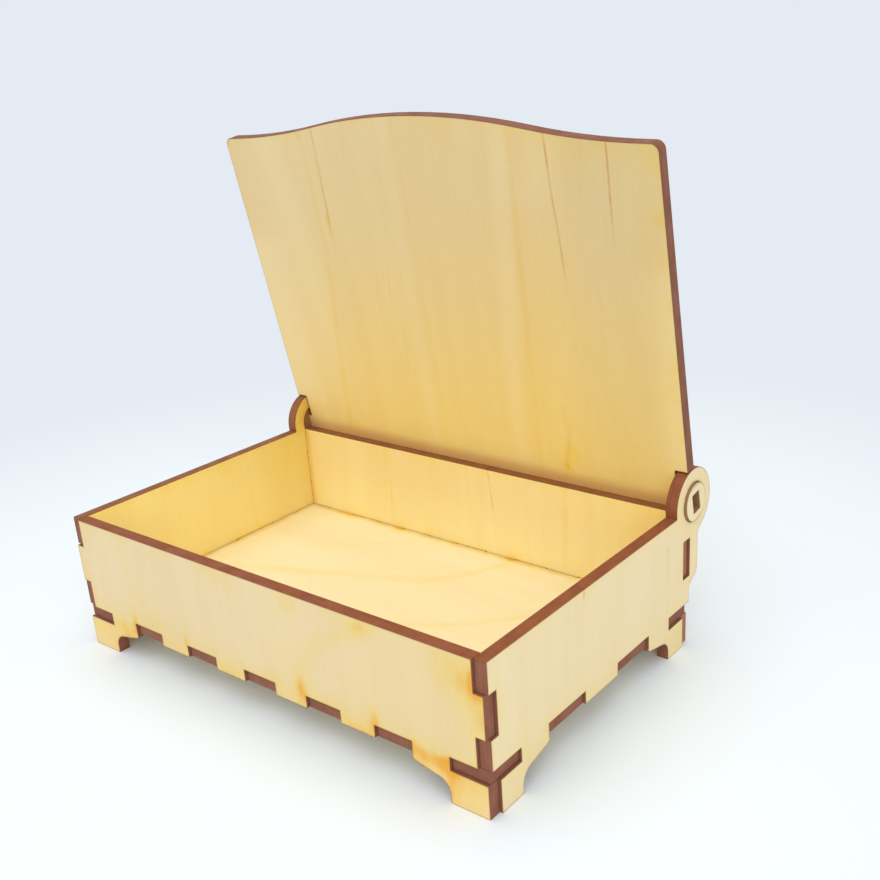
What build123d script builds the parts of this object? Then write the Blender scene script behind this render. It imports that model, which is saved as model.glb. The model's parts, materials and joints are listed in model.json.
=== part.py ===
from build123d import *
import os
from math import asin, atan2, cos, degrees, hypot, radians, sin

# A keepsake box cut from one sheet of plywood: four walls joined by fingers at the corners and
# standing on bracket feet, a floor held by tabs, and a lid that turns on two slotted discs.
# X runs along the front, Y from front to back and Z up from the table, in millimetres.
# The origin is on the table, under the middle of the walls and the hinge ears behind them.

# Plywood, outside sizes and the lid's place
sheet = 3.0  # thickness of every piece
box_width = 130.0  # over the side walls
box_depth = 81.0  # over the front and back walls
wall_top = 35.4  # top edge of the walls above the table
foot_height = 8.0  # underside of the floor above the table
lid_lean = 11.2  # degrees by which the open lid stops short of upright

# Joints between the panels
finger = 9.8  # height of the finger on each end of the front and back walls
corner_tab = 10.0  # side of the floor's corner tabs
front_tabs = 5  # floor tabs between the feet of the front and back walls
side_tabs = 2  # floor tabs between the feet of each side wall
tip_recess = 0.7  # fingers and tabs end this far inside the outer faces
fit_gap = 0.1  # play on each side of a finger, tab or tenon

# Bracket feet
foot_length = 10.4  # along the table, from the corner of the box
foot_reach = 20.0  # from the corner of the box to the end of the bracket's slope
cove_drop = 3.2  # where the slope would meet the foot, below the floor
nose_drop = 1.1  # where the slope ends, below the floor
cove_radius = 3.4
nose_radius = 0.9

# Rear edge of the side walls
rear_margin = 4.2  # wood behind the back wall's mortise
ogee_lift = 3.0  # start of the step in the rear edge, above the floor
ogee_height = 5.5

# Hinge
ear_radius = 8.45
neck_radius = 2.0  # hollow between the ear and the rear edge
disc_radius = 4.9
pivot_clearance = 0.08  # between a disc and its hole, on the radius
disc_proud = 0.65  # discs stand out of the ears by this much
tenon_height = 4.6  # lid tenons, across the hinge line
tenon_recess = 1.6  # tenons end this far inside the discs' outer faces
ear_gap = 0.4  # between the lid and the inside of each ear
shoulder_gap = 0.25  # between the lid's shoulders and the ears' rims
seat_gap = 0.1  # under the closed lid
back_gap = 0.35  # between the upright lid and the back wall

# Lid
lid_overhang = 2.9  # past the front wall at the lid's corners
crest_rise = 5.8  # rise of the lid's free edge in the middle
lid_corner = 2.0
tail_lip = 2.0  # lid below its tenons, which meets the back wall when the lid is fully open

# Places worked out from the sizes above
half_sheet = sheet / 2
floor_top = foot_height + sheet
floor_middle = foot_height + half_sheet
finger_middle = (floor_top + wall_top) / 2
finger_low = finger_middle - finger / 2
finger_high = finger_middle + finger / 2
front_tab = (box_width - 2 * foot_reach) / (2 * front_tabs - 1)
side_tab = (box_depth - 2 * foot_reach) / (2 * side_tabs - 1)
slot_width = sheet + 2 * fit_gap
pivot_height = wall_top + seat_gap + half_sheet
pivot_depth = box_depth + back_gap + half_sheet
front_y = -(pivot_depth + ear_radius) / 2
middle_y = front_y + box_depth / 2
pivot_y = front_y + pivot_depth
tail = tenon_height / 2 + tail_lip
shoulder = ear_radius + shoulder_gap
lid_end = pivot_depth + lid_overhang


def cut_window(left, right, low, high):
    # An upright rectangle cut out of the sketch that is being drawn
    with Locations(((left + right) / 2, (low + high) / 2)):
        Rectangle(right - left, high - low, mode=Mode.SUBTRACT)


def cut_floor_joint(length, tab, count):
    # The lower part of a wall: notches for the floor's tabs, and the arch between the feet
    end = length / 2
    for left, right in ((-end, corner_tab - end), (end - corner_tab, end)):
        cut_window(left - fit_gap, right + fit_gap, foot_height - fit_gap, floor_top + fit_gap)
    with Locations((0, floor_middle)):
        with GridLocations(2 * tab, 0, count, 1):
            Rectangle(tab + 2 * fit_gap, slot_width, mode=Mode.SUBTRACT)
    add(foot_arch(length), mode=Mode.SUBTRACT)


def foot_arch(length):
    # The open space under a wall: up each foot, round the cove and along the slope to the floor
    foot_x = length / 2 - foot_length
    slope_x = length / 2 - foot_reach
    with BuildSketch() as arch:
        with BuildLine():
            FilletPolyline(
                (0, 0),
                (foot_x, 0),
                (foot_x, foot_height - cove_drop),
                (slope_x, foot_height - nose_drop),
                (slope_x, foot_height),
                (0, foot_height),
                radius=[0, cove_radius, nose_radius, 0],
            )
            mirror(about=Plane.YZ)
        make_face()
    return arch.sketch


def end_wall_profile():
    # The front and back walls are alike, with a finger and a foot at each end
    end = box_width / 2
    shoulder_x = end - sheet - fit_gap
    with BuildSketch() as profile:
        with Locations((0, wall_top / 2)):
            Rectangle(box_width - 2 * tip_recess, wall_top)
        for low, high in ((floor_top, finger_low), (finger_high, wall_top)):
            cut_window(-end, -shoulder_x, low, high)
            cut_window(shoulder_x, end, low, high)
        cut_floor_joint(box_width, front_tab, front_tabs)
    return profile.sketch


def side_wall_profile():
    # Drawn from the middle of the box's depth, with the front to the left
    end = box_depth / 2
    rear_edge = end + rear_margin
    pivot = (pivot_depth - end, pivot_height)
    ogee_low = floor_top + ogee_lift
    with BuildSketch() as profile:
        with Locations((tip_recess / 2, wall_top / 2)):
            Rectangle(box_depth - tip_recess, wall_top)
        # Rear strip, stepping out in an ogee above the floor
        with BuildLine():
            hollow = TangentArc(
                (end, ogee_low),
                (end + rear_margin / 2, ogee_low + ogee_height / 2),
                tangent=(0, 1),
            )
            bulge = TangentArc(hollow @ 1, (rear_edge, ogee_low + ogee_height), tangent=hollow % 1)
            Polyline(bulge @ 1, (rear_edge, pivot_height), (end, pivot_height), hollow @ 0)
        make_face()
        with Locations(pivot):
            Circle(ear_radius)
        neck = profile.vertices().filter_by_position(Axis.X, rear_edge - fit_gap, rear_edge + fit_gap)
        fillet(neck.sort_by(Axis.Y)[-1], neck_radius)
        with Locations(pivot):
            Circle(disc_radius + pivot_clearance, mode=Mode.SUBTRACT)
        # Notch for the front wall's finger, and the mortise for the back wall's
        front_shoulder = sheet + fit_gap - end
        back_shoulder = end - sheet - fit_gap
        cut_window(-end, front_shoulder, finger_low - fit_gap, finger_high + fit_gap)
        cut_window(back_shoulder, end + fit_gap, finger_low - fit_gap, finger_high + fit_gap)
        # Room for the feet of the front and back walls
        cut_window(-end, front_shoulder, 0, floor_middle)
        cut_window(back_shoulder, end, 0, floor_middle)
        cut_floor_joint(box_depth, side_tab, side_tabs)
    return profile.sketch


os.makedirs("parts", exist_ok=True)

# Front and back walls
for wall_name, outer_y in (("front_wall", front_y), ("back_wall", front_y + box_depth - sheet)):
    with BuildPart() as end_wall:
        with BuildSketch(Plane.XZ.offset(-outer_y)):
            add(end_wall_profile())
        extrude(amount=-sheet)
    end_wall.part.label = wall_name
    export_step(end_wall.part, f"parts/{wall_name}.step")

# Side walls, each with an ear for a hinge disc
for wall_name, inner_x, outward in (
    ("left_side", sheet - box_width / 2, -sheet),
    ("right_side", box_width / 2 - sheet, sheet),
):
    with BuildPart() as side_wall:
        with BuildSketch(Plane((inner_x, middle_y, 0), x_dir=(0, 1, 0), z_dir=(1, 0, 0))):
            add(side_wall_profile())
        extrude(amount=outward)
    side_wall.part.label = wall_name
    export_step(side_wall.part, f"parts/{wall_name}.step")

# Floor, with tabs through all four walls and a square tab at each corner
with BuildPart() as floor_panel:
    with BuildSketch(Plane.XY.move(Location((0, middle_y, foot_height)))):
        Rectangle(box_width - 2 * (sheet + fit_gap), box_depth - 2 * (sheet + fit_gap))
        with GridLocations(2 * front_tab, 0, front_tabs, 1):
            Rectangle(front_tab, box_depth - 2 * tip_recess)
        with GridLocations(0, 2 * side_tab, 1, side_tabs):
            Rectangle(box_width - 2 * tip_recess, side_tab)
        corner_side = corner_tab - tip_recess
        corner_inset = corner_tab + tip_recess
        with GridLocations(box_width - corner_inset, box_depth - corner_inset, 2, 2):
            Rectangle(corner_side, corner_side)
    extrude(amount=sheet)
floor_panel.part.label = "floor_panel"
export_step(floor_panel.part, "parts/floor_panel.step")

# Lid, drawn from the hinge line up towards its free edge
into_box = (0, -cos(radians(lid_lean)), -sin(radians(lid_lean)))
lid_plane = Plane((0, pivot_y, pivot_height), x_dir=(1, 0, 0), z_dir=into_box)
with BuildPart() as lid:
    with BuildSketch(lid_plane) as lid_profile:
        with BuildLine():
            flank = TangentArc(
                (box_width / 2, lid_end),
                (box_width / 4, lid_end + crest_rise / 2),
                tangent=(-1, 0),
            )
            TangentArc(flank @ 1, (0, lid_end + crest_rise), tangent=flank % 1)
            Polyline(flank @ 0, (box_width / 2, shoulder), (0, shoulder))
            mirror(about=Plane.YZ)
        make_face()
        free_corners = lid_profile.sketch_local.vertices().group_by(Axis.Y)[1]
        fillet(free_corners, lid_corner)
        # Tongue between the ears, and a tenon across it that reaches into both discs
        with Locations((0, (shoulder - tail) / 2)):
            Rectangle(box_width - 2 * (sheet + ear_gap), shoulder + tail)
        Rectangle(box_width + 2 * (disc_proud - tenon_recess), tenon_height)
    extrude(amount=half_sheet, both=True)
lid.part.label = "lid"
export_step(lid.part, "parts/lid.step")

# Hinge discs, turned with the lid and slotted for its tenons
for disc_name, inner_x, outward in (
    ("left_hinge_disc", sheet - disc_proud - box_width / 2, -sheet),
    ("right_hinge_disc", box_width / 2 + disc_proud - sheet, sheet),
):
    across_lid = (0, cos(radians(lid_lean)), sin(radians(lid_lean)))
    with BuildPart() as disc:
        with BuildSketch(Plane((inner_x, pivot_y, pivot_height), x_dir=across_lid, z_dir=(1, 0, 0))):
            Circle(disc_radius)
            Rectangle(slot_width, tenon_height + 2 * fit_gap, mode=Mode.SUBTRACT)
        extrude(amount=outward)
    disc.part.label = disc_name
    export_step(disc.part, f"parts/{disc_name}.step")

# How far the lid turns from the angle it is drawn at
past_upright = degrees(asin((back_gap + half_sheet) / hypot(tail, half_sheet)) - atan2(half_sheet, tail))
print(f"lid closes after {90 - lid_lean:.1f} degrees, meets the back wall after {lid_lean + past_upright:.1f}")
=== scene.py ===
import bpy
import json
import numpy as np
from math import ceil, cos, radians, sin
from mathutils import Matrix, Quaternion, Vector


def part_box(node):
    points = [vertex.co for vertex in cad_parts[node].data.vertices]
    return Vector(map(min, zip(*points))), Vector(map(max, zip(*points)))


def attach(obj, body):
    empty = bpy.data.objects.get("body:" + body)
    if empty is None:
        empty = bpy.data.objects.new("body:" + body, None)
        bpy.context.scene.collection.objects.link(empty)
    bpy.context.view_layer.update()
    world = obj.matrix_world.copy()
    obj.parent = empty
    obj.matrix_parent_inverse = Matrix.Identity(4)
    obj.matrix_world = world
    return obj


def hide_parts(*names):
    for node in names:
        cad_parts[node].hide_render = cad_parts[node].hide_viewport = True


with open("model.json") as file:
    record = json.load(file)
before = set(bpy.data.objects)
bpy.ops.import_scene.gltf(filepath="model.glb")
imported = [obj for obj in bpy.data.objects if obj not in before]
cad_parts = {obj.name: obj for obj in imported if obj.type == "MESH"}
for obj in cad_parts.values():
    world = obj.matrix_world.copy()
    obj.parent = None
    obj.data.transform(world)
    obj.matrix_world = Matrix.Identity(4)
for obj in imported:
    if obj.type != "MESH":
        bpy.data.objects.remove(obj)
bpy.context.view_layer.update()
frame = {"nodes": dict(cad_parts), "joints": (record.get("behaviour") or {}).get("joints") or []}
print("frame loaded:", len(frame["nodes"]), "nodes")

mm = 0.001

# places from the frame, in m
hinge = frame["joints"][0]
hingePoint = Vector(hinge["pos_m"])
lidLean = radians(90 + hinge["range_deg"][0])  # at its low limit the lid lies flat
caseLow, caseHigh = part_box("front_wall")[0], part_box("back_wall")[1]
caseMiddle = (caseLow.y + caseHigh.y) / 2
sideLeft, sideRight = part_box("left_side")[0].x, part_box("right_side")[1].x

# sizes in mm
sheet = (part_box("front_wall")[1].y - caseLow.y) / mm  # thickness of the plywood
rimTop = caseHigh.z / mm  # upper edges of the walls, above the table
insideX = sideRight / mm - sheet  # inner faces of the walls, from the middle of the box
insideY = (caseHigh.y - caseLow.y) / 2 / mm - sheet


def srgb(red, green, blue):
    # a colour as a picture shows it, 0 to 255, in Blender's linear values
    def straight(level):
        level /= 255
        return level / 12.92 if level <= 0.04045 else ((level + 0.055) / 1.055) ** 2.4
    return straight(red), straight(green), straight(blue), 1.0


def deselectAll():
    if bpy.context.object and bpy.context.object.mode != "OBJECT":
        bpy.ops.object.mode_set(mode="OBJECT")
    bpy.ops.object.select_all(action="DESELECT")


# camera, at the photograph's place

photoView = {
    "place": (174.09, -180.26, 140.99),  # mm
    "turn": 37.722,  # degrees round the box from its front
    "height": 21.080,  # degrees above the table
    "roll": -3.004,  # degrees
    "lens": 44.742,  # mm
    "shift": (-0.0626, 0.0284),  # the picture is cropped off centre
    "nearest": 5.0,  # mm, start of what the camera sees
}


def placeCamera(view):
    turn, height = radians(view["turn"]), radians(view["height"])
    back = Vector((sin(turn) * cos(height), -cos(turn) * cos(height), sin(height)))
    bpy.ops.object.camera_add(location=Vector(view["place"]) * mm)
    camera = bpy.context.object
    camera.name = "photoCamera"
    camera.rotation_mode = "QUATERNION"
    level = (-back).to_track_quat("-Z", "Y")
    camera.rotation_quaternion = level @ Quaternion((0, 0, 1), radians(view["roll"]))
    camera.data.lens = view["lens"]
    camera.data.shift_x, camera.data.shift_y = view["shift"]
    camera.data.clip_start = view["nearest"] * mm
    bpy.context.scene.camera = camera


deselectAll()
placeCamera(photoView)
print("camera placed")


# small helpers for node trees

def feed(tree, socket, source):
    if isinstance(source, bpy.types.NodeSocket):
        tree.links.new(source, socket)
    else:
        socket.default_value = source


def addMath(tree, operation, *values, clamp=False):
    made = tree.nodes.new("ShaderNodeMath")
    made.operation = operation
    made.use_clamp = clamp
    for socket, value in zip(made.inputs, values):
        feed(tree, socket, value)
    return made.outputs[0]


def addVector(tree, operation, *values):
    made = tree.nodes.new("ShaderNodeVectorMath")
    made.operation = operation
    for socket, value in zip(made.inputs, values):
        feed(tree, socket, value)
    return made.outputs["Value" if operation in ("DOT_PRODUCT", "LENGTH") else "Vector"]


def addNoise(tree, place, stretch, detail=2.0, roughness=0.5):
    made = tree.nodes.new("ShaderNodeTexNoise")
    feed(tree, made.inputs["Vector"], addVector(tree, "MULTIPLY", place, stretch))
    made.inputs["Scale"].default_value = 1.0
    made.inputs["Detail"].default_value = detail
    made.inputs["Roughness"].default_value = roughness
    return made.outputs["Fac"]


def addRange(tree, value, low, high, toLow=0.0, toHigh=1.0, smooth=True):
    made = tree.nodes.new("ShaderNodeMapRange")
    made.interpolation_type = "SMOOTHSTEP" if smooth else "LINEAR"
    for socket, source in zip(made.inputs, (value, low, high, toLow, toHigh)):
        feed(tree, socket, source)
    return made.outputs[0]


def addMix(tree, factor, first, second, blend="MIX"):
    made = tree.nodes.new("ShaderNodeMix")
    made.data_type = "RGBA"
    made.blend_type = blend
    feed(tree, made.inputs[0], factor)
    feed(tree, made.inputs[6], first)  # 6 and 7 are its colour inputs, 2 its colour output
    feed(tree, made.inputs[7], second)
    return made.outputs[2]


def addSplit(tree, place):
    made = tree.nodes.new("ShaderNodeSeparateXYZ")
    feed(tree, made.inputs[0], place)
    return made.outputs


def newGroup(name, inputs, outputs):
    group = bpy.data.node_groups.new(name, "ShaderNodeTree")
    for label, kind in inputs:
        group.interface.new_socket(label, in_out="INPUT", socket_type="NodeSocket" + kind)
    for label, kind in outputs:
        group.interface.new_socket(label, in_out="OUTPUT", socket_type="NodeSocket" + kind)
    given = group.nodes.new("NodeGroupInput").outputs
    result = group.nodes.new("NodeGroupOutput").inputs
    return group, given, result


def addGroup(tree, group, **values):
    made = tree.nodes.new("ShaderNodeGroup")
    made.node_tree = group
    for label, source in values.items():
        feed(tree, made.inputs[label], source)
    return made.outputs


# finishes shared by all panels, with Place in mm: X across the grain, Y along it, Z out of the face

veneerGrain = {
    "sway": 16.0,  # mm from side to side
    "wander": (0.02, 0.012, 0.02),  # waves per mm across the grain, along it and into the sheet
    "fibres": (2.4, 0.16, 0.6),
    "streaks": (0.3, 0.016, 0.2),
    "bands": (0.075, 0.01, 0.02),
    "pores": (4.2, 0.5, 1.0),
    "fibreTone": 0.10,  # how far each of them darkens the veneer
    "streakTone": 0.08,
    "poreTone": 0.18,
    "poreDepth": 0.6,  # against the height of the fibres
}


def buildVeneer(grain):
    group, given, result = newGroup(
        "birchVeneer",
        [("Place", "Vector"), ("Pale", "Color"), ("Tan", "Color"), ("Bands", "Float")],
        [("Color", "Color"), ("Height", "Float")],
    )
    place = given["Place"]
    wander = addNoise(group, place, grain["wander"], detail=1.0)
    aside = group.nodes.new("ShaderNodeCombineXYZ")
    sway = addMath(group, "MULTIPLY_ADD", wander, grain["sway"], -grain["sway"] / 2)
    feed(group, aside.inputs[0], sway)
    swayed = addVector(group, "ADD", place, aside.outputs[0])
    fibres = addNoise(group, swayed, grain["fibres"], detail=3.0, roughness=0.6)
    streaks = addNoise(group, swayed, grain["streaks"], detail=2.0)
    bands = addNoise(group, swayed, grain["bands"], detail=1.0)
    pores = addRange(group, addNoise(group, swayed, grain["pores"], detail=1.0), 0.66, 0.76)
    tone = addMath(group, "MULTIPLY", addRange(group, bands, 0.35, 0.65), given["Bands"])
    tone = addMath(group, "MULTIPLY_ADD", addRange(group, streaks, 0.3, 0.7), grain["streakTone"], tone)
    tone = addMath(group, "MULTIPLY_ADD", addRange(group, fibres, 0.3, 0.7), grain["fibreTone"], tone)
    tone = addMath(group, "MULTIPLY_ADD", pores, grain["poreTone"], tone, clamp=True)
    feed(group, result["Color"], addMix(group, tone, given["Pale"], given["Tan"]))
    feed(group, result["Height"], addMath(group, "MULTIPLY_ADD", pores, -grain["poreDepth"], fibres))
    return group


smokeFinish = {
    "amber": (255, 249, 196),  # a light stain, multiplied with the veneer
    "burnt": (255, 206, 84),  # a strong one
    "singed": (150, 92, 50),  # the thin rim along a cut
    "singeWidth": 0.4,  # mm
    "reach": (0.5, 3.2),  # mm that the haze spreads from a cut
}


def buildSmoke(look):
    group, given, result = newGroup(
        "smokeStain",
        [("Veneer", "Color"), ("Place", "Vector"), ("Distance", "Float"), ("Scorch", "Float"),
         ("Haze", "Float"), ("Singe", "Float")],
        [("Color", "Color")],
    )
    patches = addNoise(group, given["Place"], (0.11, 0.11, 0.11), detail=2.0)
    drift = addNoise(group, given["Place"], (0.5, 0.25, 0.3), detail=3.0)
    reach = addRange(group, patches, 0.35, 0.7, *look["reach"])
    haze = addMath(group, "DIVIDE", given["Distance"], reach)
    haze = addMath(group, "EXPONENT", addMath(group, "MULTIPLY", haze, -1.0))
    haze = addMath(group, "MULTIPLY", haze, addRange(group, patches, 0.3, 0.7, 0.25, 1.0))
    haze = addMath(group, "MULTIPLY", haze, given["Haze"])
    spots = addMath(group, "MULTIPLY", given["Scorch"], addRange(group, drift, 0.3, 0.7, 0.88, 1.06))
    stain = addMath(group, "ADD", haze, spots, clamp=True)
    amber = addMix(group, 1.0, given["Veneer"], srgb(*look["amber"]), blend="MULTIPLY")
    burnt = addMix(group, 1.0, given["Veneer"], srgb(*look["burnt"]), blend="MULTIPLY")
    stained = addMix(group, addRange(group, stain, 0.0, 0.6, smooth=False), given["Veneer"], amber)
    stained = addMix(group, addRange(group, stain, 0.5, 1.05), stained, burnt)
    singed = addRange(group, given["Distance"], 0.0, look["singeWidth"], given["Singe"], 0.0)
    feed(group, result["Color"], addMix(group, singed, stained, srgb(*look["singed"])))
    return group


streakShape = {
    "wobble": 1.2,  # mm from side to side
    "broken": (2.0, 4.0),  # mm, half widths between which streaks stop breaking up
    "fullFrom": 0.35,  # shares of the length between which a streak is at its full strength
    "fullTo": 0.9,
}


def buildStreak(shape):
    group, given, result = newGroup(
        "grainStreak",
        [("Place", "Vector"), ("Across", "Float"), ("Low", "Float"), ("Length", "Float"),
         ("Slant", "Float"), ("Bow", "Float"), ("Width", "Float")],
        [("Mask", "Float")],
    )
    place = addSplit(group, given["Place"])
    along = addMath(group, "SUBTRACT", place[1], given["Low"])
    share = addMath(group, "DIVIDE", along, given["Length"])
    arch = addMath(group, "MULTIPLY", share, addMath(group, "SUBTRACT", 1.0, share))
    wobble = addNoise(group, given["Place"], (0.03, 0.05, 0.0), detail=1.0)
    gaps = addNoise(group, given["Place"], (0.02, 0.14, 0.0), detail=2.0)
    breaks = addRange(group, gaps, 0.35, 0.6, 0.45, 1.0)
    centre = addMath(group, "MULTIPLY_ADD", along, given["Slant"], given["Across"])
    bow = addMath(group, "MULTIPLY", given["Bow"], 4.0)  # the arch is a quarter high in its middle
    centre = addMath(group, "MULTIPLY_ADD", arch, bow, centre)
    wobble = addMath(group, "MULTIPLY_ADD", wobble, shape["wobble"], -shape["wobble"] / 2)
    centre = addMath(group, "ADD", centre, wobble)
    away = addMath(group, "ABSOLUTE", addMath(group, "SUBTRACT", place[0], centre))
    line = addRange(group, addMath(group, "DIVIDE", away, given["Width"]), 0.1, 1.0, 1.0, 0.0)
    lowEnd = addRange(group, share, 0.0, shape["fullFrom"])
    highEnd = addRange(group, share, shape["fullTo"], 1.0, 1.0, 0.0)
    thin = addRange(group, given["Width"], *shape["broken"], 1.0, 0.0)
    breaks = addMath(group, "MULTIPLY_ADD", addMath(group, "SUBTRACT", breaks, 1.0), thin, 1.0)
    ends = addMath(group, "MULTIPLY", addMath(group, "MULTIPLY", lowEnd, highEnd), breaks)
    feed(group, result["Mask"], addMath(group, "MULTIPLY", line, ends))
    return group


charFinish = {
    "brown": (138, 87, 65),
    "stroke": (152, 98, 75),
    "middlePly": (160, 94, 70),  # chars redder than the outer plies
    "smudge": (126, 78, 60),
    "glue": (104, 66, 46),
    "speck": (205, 165, 138),
    "soot": (84, 58, 42),
    "plies": 3.0,
}


def buildChar(look):
    group, given, result = newGroup(
        "charredCut",
        [("Place", "Vector"), ("Sheet", "Float"), ("Soot", "Float")],
        [("Color", "Color"), ("Height", "Float"), ("Roughness", "Float")],
    )
    place = given["Place"]
    share = addMath(group, "DIVIDE", addSplit(group, place)[2], given["Sheet"])
    strokes = addNoise(group, place, (3.2, 3.2, 0.12), detail=2.0, roughness=0.6)
    smudge = addNoise(group, place, (0.22, 0.22, 0.3), detail=2.0)
    specks = addRange(group, addNoise(group, place, (2.6, 2.6, 2.6), detail=1.0), 0.72, 0.78)
    plies = addMath(group, "PINGPONG", addMath(group, "MULTIPLY", share, look["plies"]), 0.5)
    glue = addRange(group, plies, 0.0, 0.14, 1.0, 0.0)
    aside = addMath(group, "ABSOLUTE", addMath(group, "ADD", share, 0.5))
    middle = addRange(group, aside, 0.08, 0.32, 0.55, 0.0)
    stroke = addRange(group, strokes, 0.3, 0.7)
    brown = addMix(group, stroke, srgb(*look["brown"]), srgb(*look["stroke"]))
    brown = addMix(group, middle, brown, srgb(*look["middlePly"]))
    brown = addMix(group, addRange(group, smudge, 0.35, 0.7, 0.0, 0.5), brown, srgb(*look["smudge"]))
    brown = addMix(group, addMath(group, "MULTIPLY", glue, 0.3), brown, srgb(*look["glue"]))
    brown = addMix(group, addMath(group, "MULTIPLY", specks, 0.35), brown, srgb(*look["speck"]))
    feed(group, result["Color"], addMix(group, given["Soot"], brown, srgb(*look["soot"])))
    feed(group, result["Height"], addMath(group, "MULTIPLY_ADD", glue, -0.5, strokes))
    feed(group, result["Roughness"], addRange(group, smudge, 0.3, 0.7, 0.62, 0.78))
    return group


birchVeneer = buildVeneer(veneerGrain)
smokeStain = buildSmoke(smokeFinish)
grainStreak = buildStreak(streakShape)
charredCut = buildChar(charFinish)
print("finishes ready")


# two materials for each panel, its veneer faces and its cuts

bumpStrength = 0.35
faceFinish = {
    "grain": (243, 222, 186),  # darkens the veneer to the colour of its grain
    "seam": (241, 223, 172),  # darkens it along the joints: smoke there, and painted shade of the inside corners
    "seamCore": 0.15,  # share of a seam's reach that is fully dark
    "singe": 0.55,  # burnt rim along the cuts of an outer face
    "sideBlend": 0.1,  # mm from the middle of the sheet, between its outer and inner looks
    "gloss": 0.35,
    "relief": 0.05,  # mm
}
cutFinish = {
    "soot": 0.06,
    "rimBlend": (0.6, 0.2),  # mm below the upper edge, where its own tint begins and is full
    "gloss": 0.3,
    "relief": 0.08,  # mm
}
streakTones = {  # how a streak's colour is laid over the veneer
    "brown": ("MULTIPLY", (230, 196, 146)),
    "tan": ("MULTIPLY", (254, 247, 216)),
    # a grey darkening: painted shade over the left ear and the lid's right part, a grey smear on the
    # right side
    "shadeAndSmear": ("MULTIPLY", (238, 236, 238)),
    "pale": ("MIX", (248, 234, 200)),
}


def newMaterial(name):
    material = bpy.data.materials.new(name)
    material.use_nodes = True
    tree = material.node_tree
    return material, tree, tree.nodes["Principled BSDF"]


def addPlace(tree, axes, origin):
    # Object coordinates turned into the panel's own directions, in mm
    texture = tree.nodes.new("ShaderNodeTexCoord")
    mapping = tree.nodes.new("ShaderNodeMapping")
    mapping.vector_type = "TEXTURE"
    mapping.inputs["Location"].default_value = origin
    mapping.inputs["Rotation"].default_value = Matrix(axes).transposed().to_euler()
    mapping.inputs["Scale"].default_value = (mm, mm, mm)
    tree.links.new(texture.outputs["Object"], mapping.inputs["Vector"])
    return mapping.outputs[0]


def addBump(tree, shader, height, depth):
    bump = tree.nodes.new("ShaderNodeBump")
    bump.inputs["Strength"].default_value = bumpStrength
    bump.inputs["Distance"].default_value = depth * mm
    feed(tree, bump.inputs["Height"], height)
    feed(tree, shader.inputs["Normal"], bump.outputs["Normal"])


def addAttribute(tree, name):
    made = tree.nodes.new("ShaderNodeAttribute")
    made.attribute_name = name
    return made.outputs["Fac"]


def addPaintedFade(tree, place, color, fade):
    # painted light and shade: the veneer turns to another tone towards one end of a direction on the
    # panel
    direction, start, end, other = fade
    along = addVector(tree, "DOT_PRODUCT", place, direction)
    return addMix(tree, addRange(tree, along, start, end), srgb(*other), color)


def addSeams(tree, place, seams):
    # a mask along straight joints, each given by an axis, a place on it and a reach in mm
    split = addSplit(tree, place)
    mask = 0.0
    for axis, at, reach in seams:
        away = addMath(tree, "ABSOLUTE", addMath(tree, "SUBTRACT", split[axis], at))
        near = addRange(tree, away, faceFinish["seamCore"] * reach, reach, 1.0, 0.0)
        mask = addMath(tree, "MAXIMUM", near, mask)
    patches = addRange(tree, addNoise(tree, place, (0.2, 0.2, 0.1)), 0.3, 0.7, 0.6, 1.15)
    return addMath(tree, "MULTIPLY", mask, patches, clamp=True)


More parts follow.
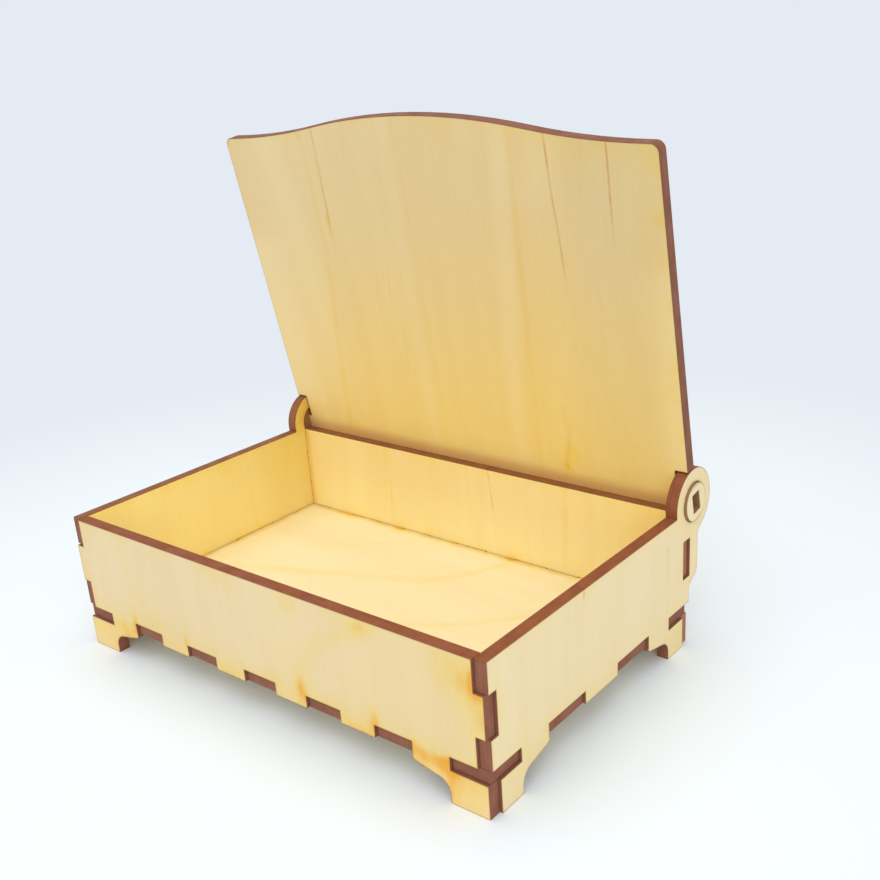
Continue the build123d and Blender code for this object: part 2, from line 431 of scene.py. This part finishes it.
def makeFace(name, look, axes, origin):
    # outer is the face at the panel's origin, and inner the face behind it
    material, tree, shader = newMaterial(name + "Birch")
    place = addPlace(tree, axes, origin)
    middle, soft = -sheet / 2, faceFinish["sideBlend"]
    innerSide = addRange(tree, addSplit(tree, place)[2], middle - soft, middle + soft, 1.0, 0.0)
    outerSide = addMath(tree, "SUBTRACT", 1.0, innerSide)
    outer, inner = srgb(*look["outer"]), srgb(*look["inner"])
    if "outerPaintedLight" in look:
        outer = addPaintedFade(tree, place, outer, look["outerPaintedLight"])
    if "innerPaintedLight" in look:
        inner = addPaintedFade(tree, place, inner, look["innerPaintedLight"])
    if "outerSillShadow" in look:  # painted contact shadow over the lowest strip, under the back wall's top edge
        low, high, shade = look["outerSillShadow"]
        shaded = addMix(tree, 1.0, outer, srgb(*shade), blend="MULTIPLY")
        outer = addMix(tree, addRange(tree, addSplit(tree, place)[1], low, high), shaded, outer)
    pale = addMix(tree, innerSide, outer, inner)
    tan = addMix(tree, 1.0, pale, srgb(*faceFinish["grain"]), blend="MULTIPLY")
    turn = tree.nodes.new("ShaderNodeVectorRotate")
    turn.rotation_type = "Z_AXIS"
    feed(tree, turn.inputs["Vector"], place)
    turn.inputs["Angle"].default_value = radians(look.get("grainTurn", 0))
    turned = turn.outputs[0]
    grainPlace = addVector(tree, "ADD", turned, look["seed"])
    veneer = addGroup(tree, birchVeneer, Place=grainPlace, Pale=pale, Tan=tan, Bands=look["bands"])
    color = veneer["Color"]
    for side, key in ((outerSide, "outer"), (innerSide, "inner")):
        # seams: smoke along the joints and painted shade in the inside corners
        if key + "Seams" in look:
            seams = addMath(tree, "MULTIPLY", addSeams(tree, place, look[key + "Seams"]), side)
            color = addMix(tree, seams, color, srgb(*faceFinish["seam"]), blend="MULTIPLY")
        for tone, low, high, bow, width, strength in look.get(key + "Streaks", []):
            length = high[1] - low[1]
            mask = addGroup(
                tree, grainStreak, Place=turned, Across=low[0], Low=low[1], Length=length,
                Slant=(high[0] - low[0]) / length, Bow=bow, Width=width,
            )["Mask"]
            mask = addMath(tree, "MULTIPLY", mask, side)
            blend, shade = streakTones[tone]
            cover = addMath(tree, "MULTIPLY", mask, strength)
            color = addMix(tree, cover, color, srgb(*shade), blend=blend)
    outerSinge = look.get("outerSinge", faceFinish["singe"])
    singe = addRange(tree, innerSide, 0.0, 1.0, outerSinge, 0.0, smooth=False)
    stained = addGroup(
        tree, smokeStain, Veneer=color, Place=grainPlace, Distance=addAttribute(tree, "cutDistance"),
        Scorch=addAttribute(tree, "scorch"), Haze=look["haze"], Singe=singe,
    )
    feed(tree, shader.inputs["Base Color"], stained["Color"])
    feed(tree, shader.inputs["Roughness"], addRange(tree, veneer["Height"], 0.2, 0.8, 0.62, 0.5))
    shader.inputs["Specular IOR Level"].default_value = faceFinish["gloss"]
    addBump(tree, shader, veneer["Height"], faceFinish["relief"])
    return material


def makeCut(name, look, axes, origin):
    material, tree, shader = newMaterial(name + "Cut")
    place = addPlace(tree, axes, origin)
    soot = look.get("soot", cutFinish["soot"])
    char = addGroup(tree, charredCut, Place=place, Sheet=sheet, Soot=soot)
    color = char["Color"]
    if "cutToneAndLight" in look:  # cuts mixed with a paler tone: painted light in shaded mortises and slots, and a disc rim's olive colour
        share, tone = look["cutToneAndLight"]
        color = addMix(tree, share, color, srgb(*tone))
    if "rimTint" in look:  # a wall's upper edge
        begin, full = cutFinish["rimBlend"]
        top = addRange(tree, addSplit(tree, place)[1], rimTop - begin, rimTop - full)
        tinted = addMix(tree, 1.0, char["Color"], srgb(*look["rimTint"]), blend="MULTIPLY")
        color = addMix(tree, top, color, tinted)
    feed(tree, shader.inputs["Base Color"], color)
    feed(tree, shader.inputs["Roughness"], char["Roughness"])
    shader.inputs["Specular IOR Level"].default_value = cutFinish["gloss"]
    addBump(tree, shader, char["Height"], cutFinish["relief"])
    return material


# panels, each finished from a copy of its CAD solid

cornerSeams = [(0, -insideX, 2.4), (0, insideX, 2.4)]  # where the end walls meet the side walls
panelFinish = {
    "merge": 0.002,  # mm
    "level": 0.3,  # degrees, up to which neighbouring faces become one
    "arris": 0.14,  # mm, rounding of the cut edges
    "arrisSteps": 2,
    "arrisAngle": 40,  # degrees, from which an edge is rounded
    "smoothAngle": 35,
    "edgeStrip": 0.45,  # mm, width of the faces along straight edges
    "shortEdge": 1.0,  # mm, edges up to this length get no strip
    "edgeLean": 0.001,  # mm by which an edge with a strip may lean
    "grid": 2.0,  # mm between the lines of points that carry the stains
    "flat": 0.95,  # a face this square to the sheet is veneer, the rest is cut
}


def copyNode(node, name):
    deselectAll()
    piece = bpy.data.objects.new(name, frame["nodes"][node].data.copy())
    piece.data.name = name
    piece.data.materials.clear()
    bpy.context.scene.collection.objects.link(piece)
    piece.select_set(True)
    bpy.context.view_layer.objects.active = piece
    bpy.ops.object.mode_set(mode="EDIT")
    bpy.ops.mesh.select_all(action="SELECT")
    bpy.ops.mesh.customdata_custom_splitnormals_clear()
    bpy.ops.mesh.remove_doubles(threshold=panelFinish["merge"] * mm)
    bpy.ops.mesh.dissolve_limited(angle_limit=radians(panelFinish["level"]))
    bpy.ops.object.mode_set(mode="OBJECT")
    return piece


def panelPoints(piece, axes, origin):
    # vertex places in mm along the panel's own directions
    spots = np.empty(len(piece.data.vertices) * 3)
    piece.data.vertices.foreach_get("co", spots)
    return (spots.reshape(-1, 3) - np.array(origin)) @ np.array(axes).T / mm


def isVeneer(polygon, depth):
    return abs(polygon.normal.dot(depth)) > panelFinish["flat"]


def readOutline(piece, axes, origin):
    # the sheet's outline as pairs of points: edges between a veneer face and a cut face
    mesh, depth = piece.data, Vector(axes[2])
    sides = {}
    for polygon in mesh.polygons:
        for key in polygon.edge_keys:
            sides.setdefault(key, []).append(isVeneer(polygon, depth))
    edges = np.array([key for key, found in sides.items() if len(set(found)) == 2])
    places = panelPoints(piece, axes, origin)[:, :2]
    return places[edges[:, 0]], places[edges[:, 1]]


def outlineDistance(places, starts, ends):
    nearest = np.full(len(places), np.inf)
    for start, end in zip(starts, ends):
        run = end - start
        share = np.clip((places - start) @ run / (run @ run), 0, 1)
        gap = places - (start + share[:, None] * run)
        nearest = np.minimum(nearest, np.hypot(gap[:, 0], gap[:, 1]))
    return nearest


def roundArrises(piece):
    bevel = piece.modifiers.new("arris", "BEVEL")
    bevel.width = panelFinish["arris"] * mm
    bevel.segments = panelFinish["arrisSteps"]
    bevel.limit_method = "ANGLE"
    bevel.angle_limit = radians(panelFinish["arrisAngle"])
    bpy.ops.object.modifier_apply(modifier=bevel.name)


def cutGrid(piece, axes, origin, starts, ends, spacing):
    # an even grid, and narrow strips along straight edges that keep the stain there even
    places = panelPoints(piece, axes, origin)
    runs = np.abs(ends - starts)
    bpy.ops.object.mode_set(mode="EDIT")
    for k in (0, 1):
        low, high = places[:, k].min(), places[:, k].max()
        count = ceil((high - low) / spacing)
        cuts = list(low + (high - low) * np.arange(1, count) / count)
        square = (runs[:, k] < panelFinish["edgeLean"]) & (runs[:, 1 - k] > panelFinish["shortEdge"])
        for edge in np.unique(starts[square, k].round(2)):
            cuts += [edge - panelFinish["edgeStrip"], edge + panelFinish["edgeStrip"]]
        for at in cuts:
            if low < at < high:
                bpy.ops.mesh.select_all(action="SELECT")
                spot = origin + Vector(axes[k]) * at * mm
                bpy.ops.mesh.bisect(plane_co=spot, plane_no=axes[k])
    bpy.ops.object.mode_set(mode="OBJECT")


def setAttribute(piece, name, values):
    made = piece.data.attributes.new(name, "FLOAT", "POINT")
    made.data.foreach_set("value", values.astype(np.float32))


def scorchAt(places, spots, trails=()):
    total = np.zeros(len(places))
    for across, up, wide, tall, strength in spots:
        reach = ((places[:, 0] - across) / wide) ** 2 + ((places[:, 1] - up) / tall) ** 2
        total += strength * np.exp(-reach)
    for points, width, strength in trails:
        trail = np.array(points, float)
        away = outlineDistance(places[:, :2], trail[:-1], trail[1:])
        total += strength * np.exp(-((away / width) ** 2))
    return np.clip(total, 0, 1)


def dressPanel(node, name, body, look, origin, across, up):
    depth = across.cross(up)
    axes = [list(across), list(up), list(depth)]
    piece = copyNode(node, name)
    starts, ends = readOutline(piece, axes, origin)
    roundArrises(piece)
    cutGrid(piece, axes, origin, starts, ends, look.get("grid", panelFinish["grid"]))
    places = panelPoints(piece, axes, origin)
    setAttribute(piece, "cutDistance", outlineDistance(places[:, :2], starts, ends))
    outer = scorchAt(places, look.get("outerScorch", []), look.get("outerTrails", []))
    inner = scorchAt(places, look.get("innerScorch", []))
    setAttribute(piece, "scorch", np.where(places[:, 2] > -sheet / 2, outer, inner))
    piece.data.materials.append(makeFace(name, look, axes, origin))
    piece.data.materials.append(makeCut(name, look, axes, origin))
    for polygon in piece.data.polygons:
        polygon.material_index = 0 if isVeneer(polygon, depth) else 1
    bpy.ops.object.shade_smooth_by_angle(angle=radians(panelFinish["smoothAngle"]))
    # keeps the flat faces flat beside their arrises
    weigh = piece.modifiers.new("weigh", "WEIGHTED_NORMAL")
    weigh.keep_sharp = True
    bpy.ops.object.modifier_apply(modifier=weigh.name)
    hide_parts(node)
    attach(piece, body)
    print(name, "dressed:", len(piece.data.polygons), "faces")


frontWall = {
    "outer": (234, 213, 170),
    "outerPaintedLight": ((0, 1, 0), 2, 14, (243, 216, 170)),  # painted bounce light, redder towards the feet
    # more golden than the outer face: partly its own veneer, partly painted golden bounce light inside
    # the box
    "inner": (246, 228, 166),
    "rimTint": (255, 230, 196),  # over the cut of the upper edge
    "innerSeams": cornerSeams,
    "grid": 1.0,  # mm, finer than elsewhere for its small stains
    "seed": (17, 40, 3),  # mm, the panel's place in the grain
    "bands": 0.1,  # strength of the broad bands in the grain
    "haze": 0.35,  # strength of the smoke along the cuts
    "outerScorch": [  # across, up, half width and half height in mm, strength
        (0, 7.0, 300, 6.0, 0.42),
        (48, 20, 22, 14, 0.14),
        (10, 19, 6, 9, 0.14),
        (62.2, 30.2, 1.1, 1.8, 0.72),
        (59.0, 30.0, 6.5, 5.0, 0.56),
        (54.4, 8.8, 1.8, 1.7, 0.7),
        (50.0, 9.0, 5.0, 2.2, 0.46),
        (45.6, 10.6, 1.8, 1.8, 0.38),
        (55.2, 3.0, 1.4, 4.5, 0.35),
        (60.0, 4.0, 6.0, 5.0, 0.2),
        (-58.5, 4.0, 7.0, 5.0, 0.1),
        (-49.5, 9.4, 4.0, 2.0, 0.28),
        (-44.8, 12.4, 1.6, 3.2, 0.5),
        (-25.4, 12.4, 0.9, 2.2, 0.45),
        (-5.2, 11.6, 0.9, 1.4, 0.2),
        (13.4, 12.6, 1.6, 4.2, 0.4),
        (35.2, 12.6, 1.6, 3.0, 0.44),
        (12.6, 33.0, 2.6, 2.2, 0.26),
        (33.6, 33.6, 3.8, 2.4, 0.4),
        (-8.0, 33.0, 6.0, 2.4, 0.2),
        (63.5, 22.5, 4.4, 7.5, 0.5),
    ],
    "outerTrails": [  # points in mm, half width, strength
        (((-45.4, 34), (-44.6, 27), (-43, 21), (-40, 16.5), (-34, 14)), 2.4, 0.15),
        (((13.6, 11), (15.8, 17), (17.4, 22.4), (21.4, 26.6), (28.6, 30.6), (35, 34)), 2.2, 0.24),
        (((-65, 12), (-62, 30)), 4.0, 0.06),
    ],
    "innerScorch": [
        (-25.4, 10.8, 1.6, 1.0, 0.6),
        (4.6, 10.8, 1.4, 1.0, 0.5),
        (35.2, 10.8, 1.8, 1.0, 0.6),
    ],
    "innerStreaks": [  # tone, low end and high end in mm, bow, half width, strength
        ("tan", (-19.0, 6), (-21.5, 38), 0.0, 1.3, 0.6),
        ("tan", (41.0, 6), (42.0, 38), 0.0, 1.6, 0.5),
        ("brown", (15.4, 18), (14.2, 37), 0.0, 0.4, 0.4),
    ],
}
dressPanel(
    "front_wall", "frontWall", "case", frontWall,
    origin=Vector((0, caseLow.y, 0)), across=Vector((1, 0, 0)), up=Vector((0, 0, 1)),
)

backWall = {
    "outer": (241, 224, 184),
    # more golden than the outer face: partly its own veneer, partly painted golden bounce light inside
    # the box
    "inner": (248, 225, 159),
    "innerPaintedLight": ((0, 1, 0), 11, 30, (254, 238, 176)),  # painted bounce light from the bright floor, paler towards it
    # a yellower upper edge: painted yellow bounce light in the lid's shade
    "rimTint": (255, 255, 196),
    "cutToneAndLight": (0.4, (188, 134, 94)),  # share and colour: painted light on the finger tips in the shaded mortises
    "innerSeams": cornerSeams,
    "seed": (217, 11, 3),
    "bands": 0.15,
    "haze": 0.4,
    "outerScorch": [
        (0, 6.0, 300, 6.0, 0.28),
        (-54.2, 9.2, 2.0, 1.7, 0.5),
        (-49.0, 9.4, 5.0, 2.2, 0.3),
        (52.0, 9.4, 3.0, 2.0, 0.4),
        (-35.0, 12.4, 1.5, 3.2, 0.4),
        (-14.8, 12.4, 1.2, 2.4, 0.35),
        (5.0, 12.2, 1.0, 2.0, 0.3),
        (25.0, 12.6, 1.7, 3.8, 0.45),
        (61.8, 24.0, 2.2, 5.0, 0.4),
    ],
    "outerStreaks": [
        ("tan", (14.0, 4), (11.6, 38), 0.0, 1.5, 0.6),
        ("tan", (-37.0, 4), (-35.4, 38), 0.0, 1.2, 0.5),
        ("brown", (-21.0, 16), (-20.2, 30), 0.0, 0.4, 0.4),
    ],
    "innerScorch": [
        (26.4, 10.8, 1.6, 1.0, 0.7),
        (6.3, 10.8, 1.4, 1.0, 0.5),
        (-13.8, 10.8, 1.8, 1.0, 0.8),
        (-56.0, 28.0, 14.0, 14.0, 0.18),
    ],
    "innerStreaks": [
        ("brown", (-8.5, 20), (-6.8, 37), 0.0, 0.4, 0.45),
        ("tan", (32.2, 6), (29.6, 38), 0.0, 1.3, 0.6),
        ("tan", (-30.9, 6), (-31.6, 38), 0.0, 1.4, 0.7),
        ("tan", (0.0, 14), (0.4, 38), 0.0, 1.2, 0.3),
        ("brown", (29.2, 8), (28.6, 26), 0.0, 0.3, 0.25),
    ],
}
dressPanel(
    "back_wall", "backWall", "case", backWall,
    origin=Vector((0, caseHigh.y, 0)), across=Vector((-1, 0, 0)), up=Vector((0, 0, 1)),
)

rightSide = {
    "outer": (240, 221, 177),
    # more golden than the outer face: partly its own veneer, partly painted golden bounce light inside
    # the box
    "inner": (247, 228, 164),
    "rimTint": (255, 230, 190),
    "seed": (431, 7, 3),
    "bands": 0.08,
    "haze": 0.25,
    "outerScorch": [
        (0, 5.0, 300, 8.0, 0.08),
        (-36.4, 24.0, 1.5, 5.0, 0.3),
        (36.0, 4.0, 6.0, 5.0, 0.2),
        (13.2, 34.2, 2.0, 1.6, 0.2),
    ],
    "outerStreaks": [
        ("brown", (-6.6, 32.8), (-6.4, 36.4), 0.0, 0.6, 0.6),
        ("shadeAndSmear", (29.7, 20), (29.8, 31), 0.0, 0.8, 0.8),
    ],
    "innerScorch": [
        (7.8, 10.8, 1.8, 1.0, 0.6),
        (-20.4, 10.8, 1.6, 1.0, 0.5),
        (42.4, 40.0, 9.0, 7.0, 0.4),
    ],
    "innerStreaks": [
        ("tan", (-24.0, 6), (-25.2, 38), 0.0, 1.3, 0.5),
        ("tan", (17.0, 6), (18.4, 38), 0.0, 1.0, 0.4),
    ],
}
dressPanel(
    "right_side", "rightSide", "case", rightSide,
    origin=Vector((sideRight, caseMiddle, 0)), across=Vector((0, 1, 0)), up=Vector((0, 0, 1)),
)

leftSide = {
    "outer": (242, 227, 188),
    # more golden than the outer face: partly its own veneer, partly painted golden bounce light inside
    # the box
    "inner": (254, 236, 160),
    "innerPaintedLight": ((0.8, -0.6, 0), -46, -2, (238, 217, 143)),  # painted shade, darker towards the ear, in the corner that the lid shades
    "rimTint": (255, 255, 206),
    "seed": (631, 77, 3),
    "bands": 0.1,
    "haze": 0.35,
    "outerScorch": [
        (0, 5.0, 300, 8.0, 0.12),
        (36.4, 24.0, 1.5, 5.0, 0.35),
        (6.8, 12.2, 1.3, 3.0, 0.4),
        (-20.4, 12.4, 1.4, 2.6, 0.35),
        (-38.9, 30.0, 2.4, 1.5, 0.3),
        (33.0, 9.0, 3.0, 2.0, 0.3),
    ],
    "outerStreaks": [
        ("tan", (-17.6, 4), (-16.2, 38), 0.0, 1.5, 0.5),
        ("brown", (12.6, 18), (12.2, 36), 0.0, 0.4, 0.45),
    ],
    "innerScorch": [
        (-7.8, 10.8, 1.8, 1.0, 0.6),
        (-42.4, 40.0, 9.0, 7.0, 0.55),
        (-32.0, 30.0, 12.0, 12.0, 0.3),
    ],
    "innerStreaks": [
        ("shadeAndSmear", (-42.4, 28), (-42.4, 60), 0.0, 20.0, 0.5),  # painted shade over the ear, in the corner behind the lid
    ],
}
dressPanel(
    "left_side", "leftSide", "case", leftSide,
    origin=Vector((sideLeft, caseMiddle, 0)), across=Vector((0, -1, 0)), up=Vector((0, 0, 1)),
)

floorPanel = {
    "outer": (250, 239, 197),
    "inner": (240, 222, 180),
    "seed": (831, 177, 3),
    "bands": 0.12,
    "haze": 0.6,
    "grainTurn": 90,  # the grain runs along the front
    "outerSeams": [(0, -insideX, 2.6), (0, insideX, 2.6), (1, -insideY, 2.6), (1, insideY, 2.6)],
    "outerSinge": 0.2,
    "outerScorch": [
        (-47.0, 36.8, 2.8, 1.2, 0.65),
        (-26.6, 37.2, 2.4, 1.2, 0.75),
        (-5.9, 36.9, 2.2, 1.2, 0.7),
        (13.3, 37.1, 2.6, 1.3, 0.85),
        (-61.8, 6.8, 1.2, 2.2, 0.6),
    ],
    "outerStreaks": [
        ("tan", (9.5, -62), (-15.4, 1.5), 0.5, 2.8, 0.7),
        ("tan", (-14.2, -4), (-38.5, 15.7), 6.6, 4.2, 0.65),
        ("tan", (-12, -46), (-31, -16), 0.0, 2.2, 0.4),
        ("tan", (7.5, 4), (-17, 38), 5.0, 2.4, 0.75),
    ],
    "innerScorch": [
        (-35.2, -36.6, 1.8, 1.6, 0.45),
        (15.0, -36.6, 1.8, 1.6, 0.5),
        (44.8, 36.6, 1.8, 1.6, 0.45),
        (-4.8, 36.8, 1.4, 1.4, 0.4),
        (60.8, 7.2, 1.4, 1.8, 0.45),
    ],
    "innerStreaks": [
        ("tan", (-21, -62), (-15, 60), 3.0, 2.2, 0.6),
        ("tan", (15, -62), (19, 62), -2.0, 1.6, 0.6),
        ("brown", (3.6, -24), (4.6, 22), 0.0, 0.4, 0.45),
    ],
}
dressPanel(
    "floor_panel", "floorPanel", "case", floorPanel,
    origin=Vector((0, caseMiddle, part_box("floor_panel")[1].z)),
    across=Vector((1, 0, 0)), up=Vector((0, 1, 0)),
)

lidPanel = {
    "outer": (226, 203, 151),  # the face over the inside of the box
    "outerPaintedLight": ((0, 1, 0), 2, 80, (243, 216, 136)),  # painted golden bounce light from the box's floor, from 2 to 80 mm above the hinge, fullest at the hinge
    "outerSillShadow": (-1.0, 3.2, (242, 219, 216)),  # mm above the hinge, and the colour of the painted contact shadow there
    "inner": (238, 220, 178),  # the face on top of the closed box
    "soot": 0.2,
    "seed": (1031, 277, 3),
    "bands": 0.12,
    "haze": 0.22,
    "outerStreaks": [
        ("pale", (13.0, -20), (27.8, 110), 0.0, 4.6, 0.12),
        ("pale", (-13.5, -20), (-7.6, 110), 0.0, 3.6, 0.1),
        ("pale", (-54, -20), (-49, 110), 0.0, 24.0, 0.16),
        ("pale", (-64, -8), (-64, 62), 0.0, 14.0, 0.2),
        ("pale", (64, -8), (64, 62), 0.0, 12.0, 0.16),
        ("tan", (24, -10), (30, 75), 0.0, 16.0, 0.3),
        # painted shade over the lid's right part
        ("shadeAndSmear", (52, -20), (54, 110), 0.0, 22.0, 0.5),
        ("tan", (20.8, -30), (29.4, 110), 0.0, 1.3, 0.55),
        ("tan", (-49.6, -20), (-36.0, 68), 0.6, 1.5, 0.7),
        ("tan", (-37.4, 52), (-36.2, 110), 0.0, 1.5, 0.7),
        ("tan", (-33.5, 71), (-32.5, 80), 0.0, 1.0, 1.0),
        ("tan", (-34.6, 58), (-33.7, 67), 0.0, 1.2, 0.9),
        ("tan", (-8.8, -30), (-4.2, 110), 0.0, 0.6, 0.4),
        ("brown", (-34.2, 52), (-31.4, 96), 0.0, 0.55, 0.55),
        ("brown", (38.2, 48), (37.1, 96), 0.0, 0.42, 0.8),
        ("brown", (51.9, 61), (52.9, 96), 0.0, 0.42, 0.75),
        ("brown", (32.2, 4), (31.8, 22), 0.0, 0.7, 0.12),
        ("brown", (29.4, -3.0), (33.4, 17.0), 0.0, 1.3, 0.2),
        ("brown", (-18.4, 40), (-16.0, 56), 0.0, 0.3, 0.2),
        ("brown", (-17.4, 20), (-15.4, 37), 0.0, 0.3, 0.2),
    ],
    "outerScorch": [
        (64.0, 84.0, 3.0, 4.0, 0.2),
        (63.8, 70.0, 2.6, 1.8, 0.45),
        (65.0, 50.0, 1.2, 1.4, 0.35),
        (64.6, 36.6, 1.4, 1.4, 0.35),
        (62.0, 50.0, 6.0, 60.0, 0.1),
        (30.7, 3.4, 1.5, 1.9, 0.8),
        (31.9, 7.0, 1.5, 2.8, 0.55),
        (34.0, 8.0, 2.6, 2.6, 0.25),
        (46.0, 87.0, 16.0, 9.0, 0.2),
        (-43.1, 2.4, 1.2, 1.4, 0.5),
    ],
    "innerScorch": [
        (-62.6, 86.0, 3.0, 4.0, 0.25),
        (-64.6, 58.0, 1.3, 1.6, 0.4),
        (64.6, 70.0, 1.4, 1.6, 0.4),
        (64.8, 26.0, 1.2, 1.4, 0.4),
        (28.0, 94.0, 12.0, 4.0, 0.2),
        (-40.0, -3.0, 10.0, 2.6, 0.25),
    ],
    "innerStreaks": [
        ("pale", (8, -20), (13, 110), 0.0, 6.0, 0.3),
        ("pale", (-46, -20), (-50, 110), 0.0, 12.0, 0.25),
        ("tan", (39.5, -20), (34.0, 110), 1.5, 2.0, 0.8),
        ("tan", (-13.0, -30), (-18.5, 110), -1.0, 1.4, 0.7),
        ("tan", (27.0, -20), (24.0, 70), 0.8, 0.9, 0.5),
        ("brown", (-42.6, 34), (-45.0, 96), 0.0, 0.42, 0.7),
        ("brown", (21.6, -8), (20.4, 40), 0.0, 0.4, 0.5),
        ("brown", (52.4, 20), (51.6, 60), 0.0, 0.42, 0.6),
    ],
}
lidUp = Vector((0, -sin(lidLean), cos(lidLean)))
lidInto = Vector((1, 0, 0)).cross(lidUp)
dressPanel(
    "lid", "lid.panel", "lid_with_discs", lidPanel,
    origin=hingePoint + lidInto * sheet / 2 * mm, across=Vector((1, 0, 0)), up=lidUp,
)

hingeDisc = {
    "outer": (240, 224, 184),
    "inner": (156, 108, 70),  # smoked by the cut, and painted shade of the deep corner seen through the ear's hole
    "soot": 0.0,
    # an olive rim, and painted light in the shaded slot
    "cutToneAndLight": (0.6, (160, 132, 92)),
    "seed": (1231, 377, 3),
    "bands": 0.1,
    "haze": 0.3,
}
for node, name, outward in (
    ("left_hinge_disc", "leftDisc", -1),
    ("right_hinge_disc", "rightDisc", 1),
):
    low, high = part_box(node)
    outerX = high.x if outward > 0 else low.x
    dressPanel(
        node, name, "lid_with_discs", hingeDisc,
        origin=Vector((outerX, hingePoint.y, hingePoint.z)),
        across=Vector((0, outward * cos(lidLean), outward * sin(lidLean))), up=lidUp,
    )


# table and light

studio = {
    "table": (238, 245, 250),
    "far": (229, 235, 242),
    "tableSize": 6.0,  # m
    "tableRough": 0.9,
    "fade": (0.095, 0.28),  # m from the middle of the box, where the far colour sets in
    "sky": 0.70,  # strength of the even light from all sides
    "lamps": {  # place and width in m, power in W
        "softBox": ((-0.09, -0.15, 0.9), 1.2, 3.4),
        "fillPanel": ((0.60, -0.60, 0.55), 1.0, 3.0),
    },
}


def addSeen(tree):
    # 1 for rays that show the background itself, 0 for those that light the object
    path = tree.nodes.new("ShaderNodeLightPath").outputs
    seen = addMath(tree, "MAXIMUM", path["Is Camera Ray"], path["Is Glossy Ray"])
    return addMath(tree, "MAXIMUM", seen, path["Is Transmission Ray"])


def makeTable(look):
    deselectAll()
    bpy.ops.mesh.primitive_plane_add(size=look["tableSize"])
    table = bpy.context.object
    table.name = "table"
    material, tree, shader = newMaterial("tableWhite")
    away = addVector(tree, "LENGTH", tree.nodes.new("ShaderNodeTexCoord").outputs["Object"])
    shader.inputs["Base Color"].default_value = srgb(*look["table"])
    shader.inputs["Roughness"].default_value = look["tableRough"]
    shader.inputs["Specular IOR Level"].default_value = 0.0
    backdrop = tree.nodes.new("ShaderNodeEmission")
    backdrop.inputs["Color"].default_value = srgb(*look["far"])
    mix = tree.nodes.new("ShaderNodeMixShader")
    fade = addRange(tree, away, *look["fade"])
    feed(tree, mix.inputs[0], addMath(tree, "MULTIPLY", fade, addSeen(tree)))
    tree.links.new(shader.outputs[0], mix.inputs[1])
    tree.links.new(backdrop.outputs[0], mix.inputs[2])
    tree.links.new(mix.outputs[0], tree.nodes["Material Output"].inputs["Surface"])
    table.data.materials.append(material)


def makeSky(look):
    world = bpy.data.worlds.new("studio")
    world.use_nodes = True
    bpy.context.scene.world = world
    tree = world.node_tree
    light = tree.nodes["Background"]
    light.inputs["Color"].default_value = (1, 1, 1, 1)
    light.inputs["Strength"].default_value = look["sky"]
    seen = tree.nodes.new("ShaderNodeBackground")
    seen.inputs["Color"].default_value = srgb(*look["far"])
    mix = tree.nodes.new("ShaderNodeMixShader")
    feed(tree, mix.inputs[0], addSeen(tree))
    tree.links.new(light.outputs[0], mix.inputs[1])
    tree.links.new(seen.outputs[0], mix.inputs[2])
    tree.links.new(mix.outputs[0], tree.nodes["World Output"].inputs["Surface"])


def makeLamp(name, place, width, power):
    place = Vector(place)
    bpy.ops.object.light_add(type="AREA", location=place)
    lamp = bpy.context.object
    lamp.name = name
    lamp.rotation_euler = (-place).to_track_quat("-Z", "Y").to_euler()
    lamp.data.shape = "DISK"
    lamp.data.size = width
    lamp.data.energy = power


makeTable(studio)
makeSky(studio)
for name, (place, width, power) in studio["lamps"].items():
    makeLamp(name, place, width, power)
bpy.context.scene.view_settings.view_transform = "Standard"
print("table and light ready")

deselectAll()
